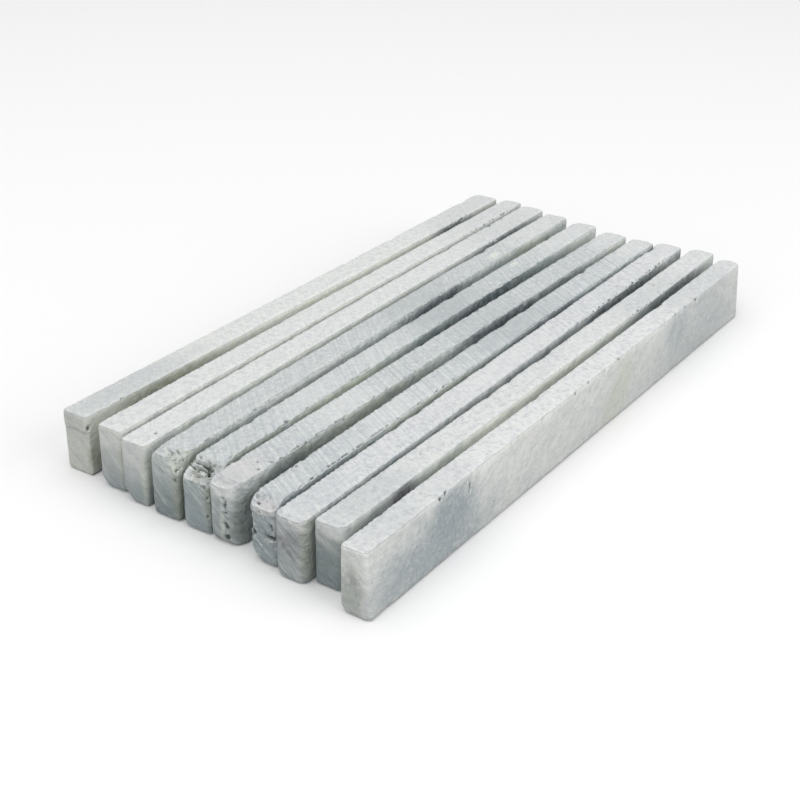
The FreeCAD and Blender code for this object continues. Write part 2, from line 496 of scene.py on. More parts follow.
def make_bedding():
    """Cloudy bands and thin veins that lie along the bedding of the stone."""
    tree, given, gives = new_group(
        "stone_bedding",
        [("Place", "vector", (0, 0, 0)), ("Lean", "vector", (0.35, 0.65, -0.65)),
         ("Shift", "vector", (0, 0, 0)), ("Spacing", "number", 4.0), ("Waver", "number", 1.0)],
        [("Cloud", "number"), ("Vein", "number"), ("Mottle", "number"), ("Streak", "number"),
         ("Glint", "number")],
    )
    place = vector_of(tree, "ADD", given["Place"], given["Shift"])
    flat = tree.nodes.new("ShaderNodeCombineXYZ")
    leans = ((0.35, 0.62, -0.70), (0.5, 0.1, 0.1), (0.03, 0.12, 0.11))
    for lean, socket in zip(leans, flat.inputs):
        plug(tree, vector_of(tree, "DOT_PRODUCT", place, lean), socket)
    fine = speckle(tree, flat.outputs[0], 0.8, 4.0, 0.7)
    plug(tree, spread(tree, fine, 0.42, 0.68), gives["Streak"])
    plug(tree, spread(tree, fine, 0.48, 0.28), gives["Glint"])
    waver = speckle(tree, place, 9.0, 2.0)
    waver = sum_of(tree, "MULTIPLY", waver, given["Waver"])
    depth = sum_of(
        tree, "DIVIDE", vector_of(tree, "DOT_PRODUCT", place, given["Lean"]), given["Spacing"]
    )
    depth = sum_of(tree, "MULTIPLY_ADD", waver, 2.2, depth)
    bands = tree.nodes.new("ShaderNodeTexNoise")
    bands.noise_dimensions = "1D"
    plug(tree, depth, bands.inputs["W"])
    bands.inputs["Scale"].default_value = 1.0
    bands.inputs["Detail"].default_value = 3.0
    band = bands.outputs[0]
    patch = speckle(tree, vector_of(tree, "MULTIPLY", place, (0.6, 1.0, 1.0)), 12.0, 3.0, 0.55)
    cloud = sum_of(tree, "MULTIPLY_ADD", band, 0.5, sum_of(tree, "MULTIPLY", patch, 0.6))
    plug(tree, spread(tree, cloud, 0.44, 0.68), gives["Cloud"])
    crest = sum_of(tree, "ABSOLUTE", sum_of(tree, "SUBTRACT", band, 0.5))
    vein = spread(tree, crest, 0.0, 0.045, 1.0, 0.0)
    broken = spread(tree, speckle(tree, place, 5.0, 3.0), 0.42, 0.62)
    plug(tree, sum_of(tree, "MULTIPLY", vein, broken), gives["Vein"])
    plug(tree, speckle(tree, place, 1.3, 5.0, 0.6), gives["Mottle"])
    return tree


def make_stain():
    """A soft-edged patch of another colour, at one place in the stone."""
    tree, given, gives = new_group(
        "stone_stain",
        [("Place", "vector", (0, 0, 0)), ("Middle", "vector", (0, 0, 0)),
         ("Reach", "vector", (5, 5, 5)), ("Skew", "number", 0.0), ("Ragged", "number", 0.5)],
        [("Stain", "number")],
    )
    gap = vector_of(tree, "SUBTRACT", given["Place"], given["Middle"])
    parts = tree.nodes.new("ShaderNodeSeparateXYZ")
    plug(tree, gap, parts.inputs[0])
    slid = sum_of(tree, "MULTIPLY", parts.outputs[2], given["Skew"])
    slid = sum_of(tree, "SUBTRACT", parts.outputs[0], slid)
    joined = tree.nodes.new("ShaderNodeCombineXYZ")
    for socket, value in zip(joined.inputs, (slid, parts.outputs[1], parts.outputs[2])):
        plug(tree, value, socket)
    size = vector_of(tree, "DIVIDE", joined.outputs[0], given["Reach"])
    away = vector_of(tree, "LENGTH", size, (0, 0, 0))
    edge = speckle(tree, given["Place"], 4.0, 5.0, 0.72)
    edge = sum_of(tree, "MULTIPLY", sum_of(tree, "SUBTRACT", edge, 0.5), given["Ragged"])
    away = sum_of(tree, "MULTIPLY_ADD", edge, 2.2, away)
    crumb = spread(tree, speckle(tree, given["Place"], 0.9, 4.0, 0.7), 0.32, 0.68, 0.55, 1.15)
    soft = spread(tree, away, 0.25, 1.1, 1.0, 0.0)
    plug(tree, sum_of(tree, "MULTIPLY", soft, crumb, clamp=True), gives["Stain"])
    return tree


def make_sawn():
    """Chalk dust and saw lines on the two narrow, freshly sawn faces."""
    tree, given, gives = new_group(
        "sawn_dust",
        [("Place", "vector", (0, 0, 0)), ("Facing", "vector", (0, 0, 1)),
         ("Pitch", "number", 1.2), ("Slant", "number", 0.3), ("Cover", "number", 0.9)],
        [("Dust", "number"), ("Lines", "number")],
    )
    facing = tree.nodes.new("ShaderNodeSeparateXYZ")
    plug(tree, given["Facing"], facing.inputs[0])
    narrow = spread(tree, sum_of(tree, "ABSOLUTE", facing.outputs[2]), 0.45, 0.8)
    patchy = spread(tree, speckle(tree, given["Place"], 2.5, 4.0, 0.6), 0.2, 0.6, 0.6, 1.0)
    dust = sum_of(tree, "MULTIPLY", sum_of(tree, "MULTIPLY", narrow, patchy), given["Cover"])
    plug(tree, dust, gives["Dust"])
    parts = tree.nodes.new("ShaderNodeSeparateXYZ")
    plug(tree, given["Place"], parts.inputs[0])
    slid = sum_of(tree, "MULTIPLY_ADD", parts.outputs[1], given["Slant"], parts.outputs[0])
    wander = speckle(tree, given["Place"], 2.2, 2.0)
    beat = sum_of(tree, "DIVIDE", slid, given["Pitch"])
    beat = sum_of(tree, "MULTIPLY_ADD", wander, 0.3, beat)
    lines = tree.nodes.new("ShaderNodeTexNoise")
    lines.noise_dimensions = "1D"
    plug(tree, beat, lines.inputs["W"])
    lines.inputs["Scale"].default_value = 1.6
    lines.inputs["Detail"].default_value = 4.0
    lines.inputs["Roughness"].default_value = 0.7
    plug(tree, sum_of(tree, "MULTIPLY", lines.outputs[0], narrow), gives["Lines"])
    return tree


def make_dust_and_edge_highlight():
    """White flecks on worn edges and crumbs: partly dust caught there, partly painted highlight on
    the edges.
    """
    tree, given, gives = new_group(
        "dust_and_edge_highlight",
        [("Place", "vector", (0, 0, 0)), ("Worn", "number", 0.0), ("Amount", "number", 0.6)],
        [("Fleck", "number")],
    )
    crumbs = spread(tree, speckle(tree, given["Place"], 0.55, 3.0, 0.6), 0.4, 0.62)
    worn = spread(tree, given["Worn"], 0.15, 0.9)
    fleck = sum_of(tree, "MULTIPLY", sum_of(tree, "MULTIPLY", worn, crumbs), given["Amount"])
    plug(tree, fleck, gives["Fleck"])
    return tree


def make_specks():
    """Crumbs of dust: greyer ones, whiter ones and a few dark mineral specks."""
    tree, given, gives = new_group(
        "dust_crumbs",
        [("Place", "vector", (0, 0, 0)), ("Size", "number", 1.0)],
        [("Cool", "number"), ("Pale", "number"), ("Dark", "number")],
    )
    large = speckle(tree, given["Place"], given["Size"], 4.0, 0.7)
    plug(tree, spread(tree, large, 0.44, 0.62), gives["Cool"])
    moved = vector_of(tree, "ADD", given["Place"], (31, 17, 5))
    small = speckle(tree, moved, sum_of(tree, "MULTIPLY", given["Size"], 0.7), 3.0, 0.6)
    plug(tree, spread(tree, small, 0.5, 0.66, 0.0, 0.9), gives["Pale"])
    moved = vector_of(tree, "ADD", given["Place"], (11, 57, 23))
    rare = speckle(tree, moved, sum_of(tree, "MULTIPLY", given["Size"], 0.9), 2.0, 0.5)
    plug(tree, spread(tree, rare, 0.70, 0.78), gives["Dark"])
    return tree


def make_grain():
    """The height of the fine grain: soft talc between harder flecks, and stray scratches."""
    tree, given, gives = new_group(
        "talc_grain",
        [("Place", "vector", (0, 0, 0)), ("Dust", "number", 0.0), ("Lines", "number", 0.0),
         ("Saw", "number", 0.5), ("Streak", "number", 0.0)],
        [("Height", "number")],
    )
    fine = speckle(tree, given["Place"], 0.35, 4.0, 0.65)
    coarse = speckle(tree, given["Place"], 1.4, 3.0, 0.5)
    rub = vector_of(tree, "MULTIPLY", given["Place"], (0.25, 1.0, 1.6))
    rub = spread(tree, speckle(tree, rub, 0.7, 2.0), 0.5, 0.75)
    height = sum_of(tree, "MULTIPLY_ADD", fine, 0.35, sum_of(tree, "MULTIPLY", coarse, 0.4))
    dusty = sum_of(tree, "MULTIPLY", given["Dust"], fine)
    height = sum_of(tree, "MULTIPLY_ADD", dusty, 0.5, height)
    bare = spread(tree, given["Dust"], 0.05, 0.4, 1.0, 0.0)
    scratch = sum_of(tree, "MULTIPLY_ADD", rub, 0.2, given["Streak"])
    scratch = sum_of(tree, "MULTIPLY", scratch, bare)
    height = sum_of(tree, "MULTIPLY_ADD", scratch, -0.75, height)
    lines = sum_of(tree, "MULTIPLY", given["Lines"], given["Saw"])
    plug(tree, sum_of(tree, "ADD", height, lines), gives["Height"])
    return tree


GROUPS = {
    "bedding": make_bedding(),
    "stain": make_stain(),
    "sawn": make_sawn(),
    "dust_and_edge_highlight": make_dust_and_edge_highlight(),
    "specks": make_specks(),
    "grain": make_grain(),
}

# ---------------------------------------------------------------- colours of the stone

CHALK = (0.80, 0.81, 0.80)
MILK = (0.76, 0.775, 0.75)
DOVE = (0.44, 0.475, 0.485)
MIST = (0.36, 0.42, 0.45)
SLATE = (0.25, 0.29, 0.31)
DEEP = (0.10, 0.125, 0.14)
SAGE = (0.62, 0.66, 0.49)
CREAM = (0.90, 0.92, 0.84)
OLIVE = (0.36, 0.38, 0.27)
PLUM = (0.12, 0.11, 0.14)
ROSE = (0.72, 0.69, 0.69)
MINT = (0.80, 0.85, 0.76)
# PIT is painted shade, laid into pits, grooves and cracks.
PIT = (0.035, 0.045, 0.035)
LICHEN = (0.50, 0.53, 0.46)
WILLOW = (0.40, 0.43, 0.38)
UMBER = (0.30, 0.27, 0.22)
PEAT = (0.17, 0.195, 0.17)
SHALE = (0.24, 0.285, 0.305)
FLINT = (0.33, 0.34, 0.36)
IRON = (0.20, 0.21, 0.23)
PUTTY = (0.46, 0.49, 0.455)
MOSS = (0.36, 0.38, 0.36)
COOL = (0.76, 0.755, 0.81)       # how much a greyer crumb of dust keeps of the plain colour


def soapstone(name, look, blank):
    """One stick's own finish, from the shared groups and that stick's colours."""
    material = bpy.data.materials.new(name)
    material.use_nodes = True
    tree = material.node_tree
    tree.nodes.clear()
    coordinates = tree.nodes.new("ShaderNodeTexCoord")
    place = vector_of(tree, "SCALE", coordinates.outputs["Object"], 1 / MM)
    facing = coordinates.outputs["Normal"]
    marks = {}
    for label in ("worn", "hollow"):
        reader = tree.nodes.new("ShaderNodeAttribute")
        reader.attribute_name = label
        marks[label] = reader.outputs["Fac"]

    bedding = use(
        tree, GROUPS["bedding"], place=place, shift=look["shift"], spacing=look["spacing"]
    )
    sawn = use(
        tree, GROUPS["sawn"], place=place, facing=facing,
        pitch=look["pitch"], slant=look["slant"], cover=look["cover"],
    )
    fleck = use(tree, GROUPS["dust_and_edge_highlight"], place=place, worn=marks["worn"], amount=DUST_AND_EDGE_HIGHLIGHT)[0]
    streak = sum_of(tree, "MULTIPLY", bedding["Streak"], look["streaky"])
    grain = use(
        tree, GROUPS["grain"], place=place, dust=sawn["Dust"], lines=sawn["Lines"],
        saw=look["saw"], streak=streak,
    )[0]

    # Each stick runs from its lower colour at the foot to its upper colour at the top. Where the
    # lower colour is darker, this is partly the stone's own blue-grey lower part and partly
    # painted shade at the foot.
    height = tree.nodes.new("ShaderNodeSeparateXYZ")
    plug(tree, place, height.inputs[0])
    wander = sum_of(tree, "MULTIPLY_ADD", bedding["Cloud"], -3.0, height.outputs[2])
    rise = spread(tree, wander, *look["turns"])
    colour = tint(tree, rise, look["lower"], look["upper"])
    cloud = sum_of(tree, "MULTIPLY", bedding["Cloud"], look["cloudy"])
    colour = tint(tree, cloud, colour, look["cloud_colour"])
    vein = sum_of(tree, "MULTIPLY", bedding["Vein"], look["veined"])
    colour = tint(tree, vein, colour, SLATE)
    mottle = spread(tree, bedding["Mottle"], 0.35, 0.7, 0.0, look["mottled"])
    colour = tint(tree, mottle, colour, look["cloud_colour"])
    colour = tint(tree, streak, colour, look["streak_colour"])
    glint = sum_of(tree, "MULTIPLY", bedding["Glint"], 0.6 * look["streaky"])
    colour = tint(tree, glint, colour, MILK)
    colour = lay_stains(tree, colour, place, blank, look["clouds"], look["blotchy"])

    speck = use(tree, GROUPS["specks"], place=place)
    cool = sum_of(tree, "MULTIPLY", speck["Cool"], look["crumbly"])
    dust = tint(tree, cool, look["dust"], [c * f for c, f in zip(look["dust"], COOL)])
    pale = sum_of(tree, "MULTIPLY", speck["Pale"], look["crumbly"])
    dust = tint(tree, pale, dust, CHALK)
    lines = spread(tree, sawn["Lines"], 0.38, 0.62, 0.0, look["line_shade"])
    dust = tint(tree, lines, dust, DOVE)
    colour = tint(tree, sawn["Dust"], colour, dust)
    colour = lay_stains(tree, colour, place, blank, look["patches"], look["blotchy"])
    colour = tint(tree, sum_of(tree, "MULTIPLY", speck["Dark"], DARK_SPECKS), colour, SLATE)
    # White flecks on worn edges: partly dust, partly painted edge highlight.
    colour = tint(tree, fleck, colour, CHALK)
    # Painted shade: pits, grooves and cracks are darkened towards PIT.
    dark = spread(tree, marks["hollow"], 0.3, 0.95, 0.0, look["hollow_shade"])
    colour = tint(tree, dark, colour, PIT)

    bump = tree.nodes.new("ShaderNodeBump")
    bump.inputs["Strength"].default_value = 1.0
    bump.inputs["Distance"].default_value = GRAIN_DEPTH
    plug(tree, grain, bump.inputs["Height"])
    shader = tree.nodes.new("ShaderNodeBsdfPrincipled")
    plug(tree, colour, shader.inputs["Base Color"])
    rough = spread(tree, sawn["Dust"], 0.0, 1.0, 0.45, 0.8)
    rough = sum_of(tree, "MULTIPLY_ADD", bedding["Mottle"], 0.15, rough)
    plug(tree, rough, shader.inputs["Roughness"])
    plug(tree, bump.outputs[0], shader.inputs["Normal"])
    shader.inputs["Subsurface Weight"].default_value = 0.2
    shader.inputs["Subsurface Radius"].default_value = (1.0, 1.0, 0.7)
    shader.inputs["Subsurface Scale"].default_value = GLOW_DEPTH
    shader.inputs["Specular IOR Level"].default_value = 0.4
    output = tree.nodes.new("ShaderNodeOutputMaterial")
    plug(tree, shader.outputs[0], output.inputs[0])
    return material


def lay_stains(tree, colour, place, blank, stains, ragged):
    """Colour the listed patches: (colour, strength, (along, side, up), reach, skew)."""
    for stain_colour, strength, middle, reach, skew in stains:
        stain = use(
            tree, GROUPS["stain"], place=place, middle=blank.in_row(*middle),
            reach=reach, skew=skew, ragged=ragged,
        )[0]
        colour = tint(tree, sum_of(tree, "MULTIPLY", stain, strength), colour, stain_colour)
    return colour


# ---------------------------------------------------------------- the ten sticks

TOP_HEIGHT = 11.2               # of the sawn tops, near enough for colour


def patch(colour, strength, spot, reach, skew=0.0):
    """A patch of colour around a spot, reaching so far along, across and up."""
    return colour, strength, spot, reach, skew


def on_top(colour, strength, along, reach):
    """A greyer or whiter stretch of the sawn top."""
    return patch(colour, strength, (along, 0, TOP_HEIGHT), (reach, 5, 2.5))


BROAD_DEPTH = 1.6               # how deep a cloud on a broad face goes


def on_side(colour, strength, along, up, reach, tall, skew=0.0):
    """A patch on the right-hand broad face."""
    return patch(colour, strength, (along, RIGHT, up), (reach, BROAD_DEPTH, tall), skew)


def on_end(colour, strength, side, up, wide, tall):
    """A patch on the near end."""
    return patch(colour, strength, (0, side, up), (2.0, wide, tall))


def on_left(seed):
    """Soft clouds on the left-hand broad face, which lies against the next stick."""
    dice = np.random.default_rng(seed)
    clouds = []
    for colour in (MIST, DOVE, SLATE, MILK, MIST):
        middle = (dice.uniform(14, 118), LEFT, dice.uniform(1, 10))
        reach = (dice.uniform(10, 26), BROAD_DEPTH, dice.uniform(4, 9))
        clouds.append(patch(colour, dice.uniform(0.4, 0.75), middle, reach, dice.uniform(-2, 0)))
    return clouds


def on_brow(strength, up=9.9, tall=1.5):
    """Chalk dust rubbed over the top rim of the near end."""
    return patch(CHALK, strength, (0, 0, up), (1.5, 5.0, tall))


PLAIN = {
    "slot": "soapstone_pale",
    "saw_depth": 0.025, "saw": 0.45, "pitch": 1.2, "slant": -0.8, "ragged": 0.45,
    "pits": 16, "marks": [], "crumbs": [], "breaks": [],
    # upper and lower: the colours at the top and at the foot; a darker lower colour is partly the
    # stone's own and partly painted shade at the foot.
    "upper": MILK, "lower": (0.62, 0.64, 0.62), "turns": (-2.0, 9.0),
    "cloud_colour": DOVE, "cloudy": 0.25, "veined": 0.15, "spacing": 1.6, "shift": (0, 0, 0),
    "dust": (0.785, 0.80, 0.785), "cover": 0.95, "line_shade": 0.14, "mottled": 0.25,
    "crumbly": 0.75, "streaky": 0.35, "streak_colour": DOVE, "clouds": [], "patches": [],
    "hollow_shade": 0.8, "blotchy": 0.6,
}

GREY = {
    "slot": "soapstone_grey", "saw": 1.0, "line_shade": 0.6, "ragged": 0.8, "streaky": 0.75,
    "streak_colour": MIST, "saw_depth": 0.05, "crumbly": 0.85,
}

# A dark vein down the near end of stick_08: how dark, which side and how high
SLANTING_VEIN = [(0.6, 0.75, 6.6), (0.65, 0.40, 5.8), (0.65, 0.05, 5.0), (0.5, -0.25, 4.3)]

STICKS = {
    "stick_01": dict(
        slant=-0.9,
        upper=(0.76, 0.78, 0.72), lower=(0.73, 0.76, 0.68), dust=(0.80, 0.815, 0.795), cloudy=0.12,
        clouds=[
            # Pale cream on the right face, inside the gap: partly the stone's own cream tint,
            # partly a painted glow of light coming through the stone.
            on_side(CREAM, 0.95, 62, 7, 50, 14),
            on_side(OLIVE, 0.8, 16, 6, 24, 12),
            on_side(CREAM, 0.6, 4, 9, 8, 5),
            on_side(DEEP, 0.85, 110, 7, 12, 9),
        ],
        patches=[on_top(DOVE, 0.55, 10, 24), on_top(DOVE, 0.30, 118, 20)],
        marks=[
            groove((None, 0.9, 8.6), (None, -0.1, 8.3), 0.7, 0.15),
            pit((0.5, -1.0, 8.9), 1.0, 0.35),
        ],
        crumbs=[(RIGHT, 98, 116, 10), (RIGHT, 2, 12, 4)],
    ),
    "stick_02": dict(
        slant=-1.0,
        upper=(0.77, 0.79, 0.74), lower=(0.36, 0.41, 0.42), shift=(3, 8, 1), streaky=0.5,
        clouds=[
            on_end(SAGE, 0.35, -0.95, 6, 1.3, 7),
            on_side(CREAM, 0.6, 60, 8, 60, 9),
            on_brow(0.7, 9.4, 2.4),
        ],
        patches=[on_top(DOVE, 0.22, 118, 18)],
        crumbs=[(RIGHT, 104, 126, 14)],
    ),
    "stick_03": dict(
        slant=-1.1,
        upper=(0.75, 0.77, 0.74), lower=(0.33, 0.39, 0.40), shift=(9, 2, 5),
        streaky=0.5,
        clouds=[
            on_end(SAGE, 0.4, -0.95, 6, 1.5, 8),
            on_side(CREAM, 0.6, 45, 7, 60, 9),
            on_side(DEEP, 0.85, 112, 7, 16, 12),
            on_brow(0.65, 9.2, 3.2), on_end(CHALK, 0.25, 0, 5.6, 4, 2.5),
        ],
        patches=[on_top(DOVE, 0.28, 116, 18)],
        marks=[pit((4.7, -0.36, None), 0.7, 0.3)],
        crumbs=[(LEFT, 104, 120, 9), (RIGHT, 104, 109, 4)],
    ),
    "stick_04": dict(
        GREY, slant=-1.0, dust=(0.675, 0.705, 0.695),
        upper=(0.69, 0.74, 0.72), lower=(0.22, 0.265, 0.265),
        shift=(1, 5, 9), line_shade=0.42, turns=(0.3, 7.2),
        clouds=[
            on_side(OLIVE, 0.6, 3, 7, 14, 9),
            on_side(MILK, 0.6, 36, 8, 26, 9),
            on_side(DEEP, 0.95, 76, 8, 15, 13),
            on_side(SAGE, 0.6, 112, 8, 14, 7),
        ],
        patches=[
            on_top(DOVE, 0.5, 72, 15), on_top(CHALK, 0.6, 120, 18),
            patch(LICHEN, 0.55, (1.3, -0.6, 10.3), (3.4, 2.6, 2.0)),
            patch(MINT, 0.8, (101, -0.3, 11.3), (3.0, 1.2, 1.0)),
            patch(MINT, 0.5, (0.5, -0.9, 9.3), (1.6, 1.4, 1.6)),
        ],
        breaks=[((1.4, -0.7, 10.4), 4.2, 0.3, 0.7)], hollow_shade=0.6,
        marks=[
            groove((2.4, 0.32, None), (1.9, -0.30, None), 0.5, 0.3),
            groove((3.0, 0.10, None), (2.9, -0.25, None), 0.4, 0.2),
            groove((2.7, -0.35, None), (2.2, -0.85, None), 0.6, 0.35),
            groove((1.5, -0.35, None), (1.1, -0.75, None), 0.45, 0.25),
            pit((None, -0.78, 9.3), 0.7, 0.4), pit((None, -0.8, 7.4), 0.8, 0.5),
        ],
        crumbs=[(RIGHT, 2, 30, 10)],
    ),
    "stick_05": dict(
        GREY, slant=-0.9, dust=(0.69, 0.72, 0.715),
        upper=(0.50, 0.56, 0.55), lower=(0.36, 0.42, 0.43),
        shift=(4, 1, 3), line_shade=0.45,
        clouds=[
            on_side(OLIVE, 0.5, 6, 7, 20, 9),
            on_side(SAGE, 0.6, 36, 8, 22, 9),
            on_side(DEEP, 0.97, 80, 8, 27, 14),
            on_side(CREAM, 0.8, 122, 8, 12, 8),
        ],
        patches=[
            on_top(DOVE, 0.72, 72, 14), on_top(CHALK, 0.6, 120, 18),
            on_top(CHALK, 0.4, 30, 12),
            patch(WILLOW, 0.8, (1.8, -0.1, 10.0), (3.6, 3.2, 2.4)),
            patch(UMBER, 0.5, (1.3, 0.2, 9.6), (1.6, 1.2, 1.0)),
            patch(MINT, 0.9, (99.6, 0.3, 11.3), (1.6, 1.0, 1.0)),
            patch(CHALK, 0.5, (1.6, 0.95, 10.0), (3.4, 1.0, 2.4)),
            patch(CHALK, 0.3, (0.1, 0.0, 8.9), (0.9, 3.0, 0.5)),
            on_top(CHALK, 0.3, 50, 12),
        ],
        breaks=[((1.8, 0.0, 10.0), 6.0, 0.45, 0.8)], hollow_shade=0.65,
        marks=[
            groove((3.2, 0.92, None), (2.7, 0.4, None), 0.5, 0.5),
            groove((3.6, 0.64, None), (3.0, 0.1, None), 0.4, 0.4),
            groove((2.3, 0.93, None), (1.8, 0.42, None), 0.7, 0.7),
            groove((2.8, 0.32, None), (2.3, -0.4, None), 0.6, 0.7),
            groove((2.9, -0.1, None), (2.7, -0.85, None), 1.1, 0.8),
            groove((2.4, -0.5, None), (2.2, -0.95, None), 0.9, 0.8),
            groove((2.0, -0.18, None), (2.0, -0.85, None), 0.7, 0.8),
            groove((2.0, 0.3, None), (2.1, -0.07, None), 0.5, 0.5),
            groove((1.2, 0.42, None), (1.1, 0.2, None), 0.6, 0.3),
            groove((None, -0.6, 8.2), (None, -0.93, 8.9), 0.8, 0.6),
            pit((None, -0.85, 6.4), 0.6, 0.4), pit((None, -0.9, 3.2), 0.7, 0.4),
            pit((77, -0.1, None), 0.5, 0.15), pit((78.8, 0.2, None), 0.5, 0.15),
        ],
        crumbs=[(RIGHT, 4, 26, 9), (LEFT, 60, 100, 14)],
    ),
    "stick_06": dict(
        GREY, slant=-0.6, dust=(0.68, 0.71, 0.705),
        upper=(0.75, 0.80, 0.77), lower=(0.39, 0.445, 0.43),
        shift=(7, 3, 2), line_shade=0.58, saw_depth=0.06, crumbly=1.0,
        breaks=[
            ((1.0, -0.9, 9.6), 3.0, 0.25, 0.6), ((0.8, 0.1, 10.2), 3.6, 0.2, 0.5),
            ((3.4, -0.95, 10.8), 2.4, 0.3, 0.5), ((6.4, -0.95, 11.0), 2.2, 0.25, 0.5),
        ],
        clouds=[
            on_side(OLIVE, 0.6, 30, 7, 30, 9),
            on_side(DEEP, 0.75, 12, 4, 10, 9),
            patch(PEAT, 0.7, (1.2, -0.85, 4.4), (4.0, 1.6, 5.6)),
            on_side(DEEP, 0.95, 76, 8, 20, 13),
            on_side(DEEP, 0.6, 100, 7, 12, 9),
            on_side(CREAM, 0.85, 122, 8, 12, 9),
        ],
        patches=[
            on_top(DOVE, 0.36, 74, 16), on_top(CHALK, 0.6, 125, 10),
            on_top(ROSE, 0.6, 4, 7), on_brow(0.9, 9.6, 1.8),
            patch(MINT, 0.4, (0.3, 0.12, 5), (1.5, 0.5, 6)),
            patch(CHALK, 0.7, (1.6, -0.95, 10.4), (3.0, 1.0, 1.4)),
            on_top(CHALK, 0.5, 30, 14), on_top(DOVE, 0.3, 1.5, 3),
        ],
        marks=pitted_seam(-0.1, 0.8, 8.2, 17, 4) + [
            pit((None, -0.05, 6.6), 0.8, 0.45), pit((None, -0.1, 3.1), 0.9, 0.45),
            pit((None, -0.1, 1.3), 0.8, 0.45), pit((None, -0.02, 0.9), 0.5, 0.3),
            pit((8.0, -0.1, None), 0.6, 0.3), pit((6.4, -0.62, None), 0.6, 0.3),
            groove((8.8, -0.5, None), (9.6, -0.85, None), 0.5, 0.3),
            groove((78.5, 0.1, None), (76.2, -0.3, None), 0.5, 0.12),
            pit((79.6, -0.2, None), 0.5, 0.15), pit((74.5, 0.57, None), 0.5, 0.12),
        ],
        crumbs=[(RIGHT, 11, 28, 12), (RIGHT, 28, 60, 9), (LEFT, 60, 110, 16)],
    ),
    "stick_07": dict(
        GREY, slant=-0.6, dust=(0.745, 0.775, 0.775),
        upper=(0.47, 0.53, 0.53), lower=(0.375, 0.435, 0.445),
        shift=(2, 7, 7), line_shade=0.6, ragged=1.0, saw=1.0, saw_depth=0.055, streaky=0.9,
        breaks=[((0.4, 0.2, 9.8), 3.4, 0.22, 0.6), ((0.0, 0.2, 5.0), 8.0, 0.12, 0.9)],
        clouds=[
            on_end(SHALE, 0.35, 0.0, 5.2, 4.5, 2.4),
            on_side(DEEP, 0.5, 10, 7, 16, 9),
            on_side(DEEP, 0.85, 82, 8, 15, 12),
            on_side(SAGE, 0.5, 42, 8, 26, 8),
        ],
        patches=[
            on_top(DOVE, 0.6, 75, 20), on_top(CHALK, 0.6, 124, 11),
            on_top(CHALK, 0.4, 35, 12), on_top(DOVE, 0.4, 1.5, 3),
            patch(ROSE, 0.6, (0.5, 0.0, 10.0), (2.0, 3.0, 1.4)),
            patch(CHALK, 0.45, (0.1, 0.0, 9.3), (1.0, 4.0, 0.6)),
            patch(CHALK, 0.35, (0.0, -0.75, 7.0), (1.0, 0.6, 3.0)),
        ],
        marks=[
            groove((None, -0.28, 5.0), (None, -0.74, 4.8), 1.3, 0.9),
            groove((None, -0.6, 7.4), (None, -0.66, 6.4), 0.5, 0.3),
            pit((1.2, 0.75, None), 0.8, 0.25), pit((0.8, 0.35, None), 1.1, 0.35),
            pit((0.4, -0.4, None), 0.5, 0.2), pit((0.5, -0.05, None), 0.4, 0.2),
            pit((None, -0.75, 8.6), 0.4, 0.25), pit((None, -0.7, 3.4), 0.7, 0.2),
            pit((0.3, 0.1, None), 0.35, 0.2), pit((0.35, -0.25, None), 0.35, 0.2),
            pit((0.7, -0.6, None), 0.5, 0.25), pit((1.6, 0.5, None), 0.4, 0.15),
            groove((None, 0.2, 8.6), (None, -0.6, 6.9), 0.35, 0.08),
            groove((None, 0.6, 6.4), (None, -0.2, 4.2), 0.4, 0.1),
            groove((None, 0.7, 3.8), (None, 0.1, 2.2), 0.4, 0.1),
            groove((None, 1.0, 5.9), (None, 0.6, 5.1), 0.7, 0.9),
        ] + [pit((None, 0.97, up), 1.1, 0.45) for up in (8.3, 7.2, 6.4, 5.6, 4.6, 3.6, 2.6)],
        crumbs=[(RIGHT, 9, 21, 13), (LEFT, 2, 60, 34), (RIGHT, 30, 50, 8)],
    ),
    "stick_08": dict(
        GREY, slant=-0.6, dust=(0.785, 0.80, 0.80),
        upper=(0.60, 0.62, 0.61), lower=(0.46, 0.50, 0.50),
        shift=(6, 6, 4), line_shade=0.28, saw=0.7, saw_depth=0.04,
        crumbly=0.9, cloudy=0.4, veined=0.3, streaky=0.9,
        clouds=[
            on_end(FLINT, 0.85, 0.1, 6.7, 3.6, 2.6),
            on_end(MILK, 0.2, 0.0, 3.0, 3.6, 2.0),
            *[on_end(IRON, dark, side, up, 0.8, 0.9) for dark, side, up in SLANTING_VEIN],
            on_side(OLIVE, 0.5, 1, 6, 3, 10),
            on_side(DEEP, 0.85, 104, 8, 20, 12),
            on_brow(0.6),
        ],
        patches=[
            on_top(CHALK, 0.4, 60, 24), on_top(DOVE, 0.2, 8, 8), on_top(CHALK, 0.4, 124, 10),
        ],
        marks=[groove((103.5, 0.4, None), (104, -0.3, None), 1.0, 0.2)],
        crumbs=[(RIGHT, 84, 120, 18)],
    ),
    "stick_09": dict(
        slant=-0.8,
        upper=(0.76, 0.79, 0.75), lower=(0.225, 0.27, 0.275), turns=(4.6, 10.6), shift=(5, 9, 6),
        crumbly=0.95,
        clouds=[
            # Pale cream on the right face, inside the gap: partly the stone's own cream tint,
            # partly a painted glow of light coming through the stone.
            on_side(CREAM, 0.9, 52, 8, 44, 12),
            on_side(PLUM, 0.85, 15.0, 9, 4.5, 7),
            on_side(DEEP, 0.85, 107, 8, 16, 12),
            on_brow(0.75),
        ],
        patches=[on_top(DOVE, 0.45, 10, 14), on_top(DOVE, 0.3, 102, 16)],
        marks=[
            groove((26.0, 0.54, None), (24.6, 0.23, None), 0.45, 0.2),
            pit((22.6, 0.39, None), 0.5, 0.15), pit((21.2, 0.14, None), 0.5, 0.15),
            pit((None, 0.4, 2.0), 0.5, 0.2), pit((None, -0.1, 1.3), 0.5, 0.2),
